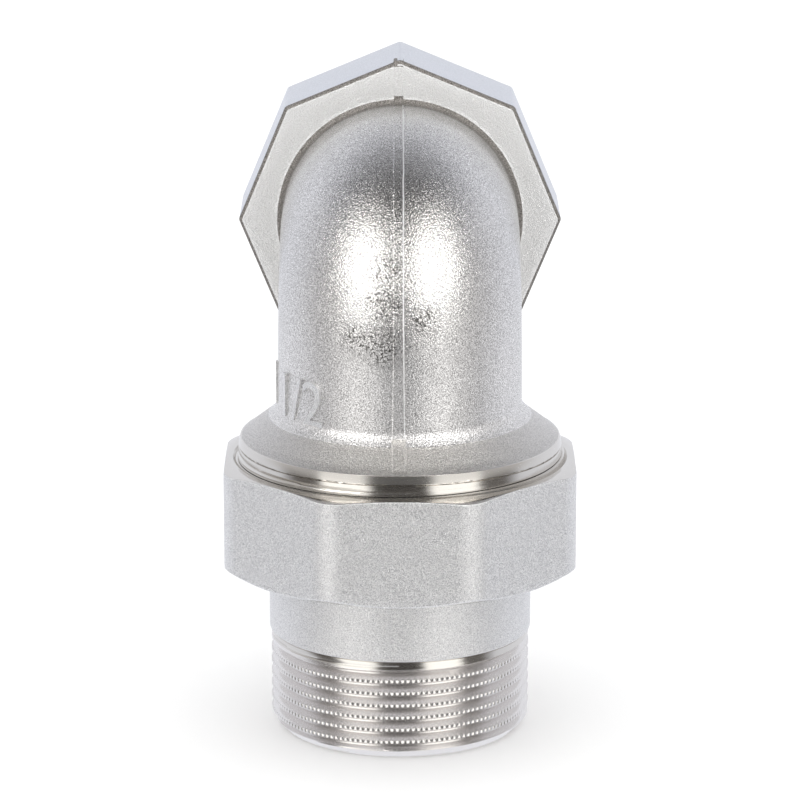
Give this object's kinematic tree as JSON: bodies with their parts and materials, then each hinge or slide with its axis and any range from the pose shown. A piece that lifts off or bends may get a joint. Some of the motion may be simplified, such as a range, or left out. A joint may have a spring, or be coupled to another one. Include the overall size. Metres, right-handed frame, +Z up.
{
  "type": "angled pipe union",
  "caption": "Elbow pipe union: male pipe thread on a loose tail piece, octagon union nut, tight forged bend and a female threaded octagon socket at right angles.",
  "frame": {"origin": "centre of the tail piece's end face, on which the union stands", "axes": "+Z up the common axis of tail piece, nut and union end; +Y out of the socket's mouth; +X to the right when the bend is seen from its back"},
  "size_m": [0.0644, 0.0882, 0.1187],
  "materials": {
    "elbow_nickel": "nickel-plated forging, blasted and bright",
    "nut_nickel": "nickel-plated forging, blasted and bright",
    "tail_nickel": "nickel-plated forging with a turned thread",
    "washer_rubber": "matt black rubber"
  },
  "bodies": {
    "tail": {"tail_piece": "tail_nickel"},
    "seal": {"sealing_washer": "washer_rubber"},
    "nut": {"union_nut": "nut_nickel"},
    "elbow": {"elbow_body": "elbow_nickel"}
  },
  "joints": [
    {"name": "union_swivel", "type": "hinge", "parent": "tail", "child": "seal", "pos_m": [0, 0, 0], "axis": [0, 0, 1], "continuous": true},
    {"name": "nut_turn", "type": "hinge", "parent": "seal", "child": "nut", "pos_m": [0, 0, 0], "axis": [0, 0, 1], "range_deg": [-1440, 0]},
    {"name": "union_draw", "type": "slide", "parent": "seal", "child": "elbow", "axis": [0, 0, 1], "range_m": [0, 0.00924]}
  ],
  "couplings": [
    {"joint": "union_draw", "follows": "nut_turn", "m_per_rad": -0.00036749}
  ]
}
